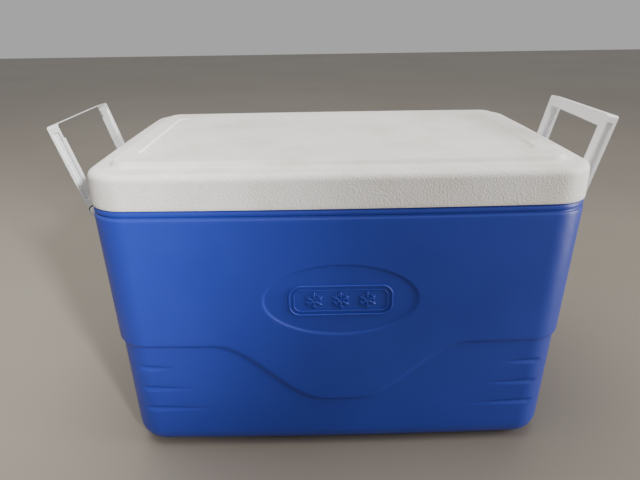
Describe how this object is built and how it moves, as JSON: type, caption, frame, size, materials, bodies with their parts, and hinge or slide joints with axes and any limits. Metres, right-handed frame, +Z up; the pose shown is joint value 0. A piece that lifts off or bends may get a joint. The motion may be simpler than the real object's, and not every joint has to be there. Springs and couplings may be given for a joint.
{
  "type": "cooler chest",
  "caption": "Insulated cooler chest with a lift-off lid, a tub liner and a swinging bail handle on each end.",
  "frame": {"origin": "centre of the underside of the base, on the surface the chest stands on", "axes": "+Z up, +X along the width towards the right-hand handle, -Y towards the front with the oval badge"},
  "size_m": [0.5953, 0.318, 0.3635],
  "materials": {
    "shell": "lightly textured, semi-gloss moulded blue",
    "lid": "stippled off-white",
    "liner": "smooth white",
    "handle": "smooth satin off-white",
    "foam": "closed-cell foam, sealed in",
    "steel": "zinc-plated screws"
  },
  "bodies": {
    "chest": {"outer_shell": "shell", "inner_liner": "liner", "body_foam": "foam", "bracket_left": "shell", "bracket_right": "shell", "pin_left_front": "handle", "pin_left_rear": "handle", "pin_right_front": "handle", "pin_right_rear": "handle", "screw_left_front": "steel", "screw_left_rear": "steel", "screw_right_front": "steel", "screw_right_rear": "steel"},
    "lid": {"lid_cover": "lid", "lid_liner": "liner", "lid_foam": "foam"},
    "left_handle": {"handle_left": "handle"},
    "right_handle": {"handle_right": "handle"}
  },
  "joints": [
    {"name": "lid_lift", "type": "slide", "parent": "chest", "child": "lid", "axis": [0, 0, 1], "range_m": [0, 0.15]},
    {"name": "left_handle_swing", "type": "hinge", "parent": "chest", "child": "left_handle", "pos_m": [-0.2675, 0, 0.2665], "axis": [0, -1, 0], "range_deg": [-22, 165]},
    {"name": "right_handle_swing", "type": "hinge", "parent": "chest", "child": "right_handle", "pos_m": [0.2675, 0, 0.2665], "axis": [0, 1, 0], "range_deg": [-18.5, 168.5]}
  ]
}
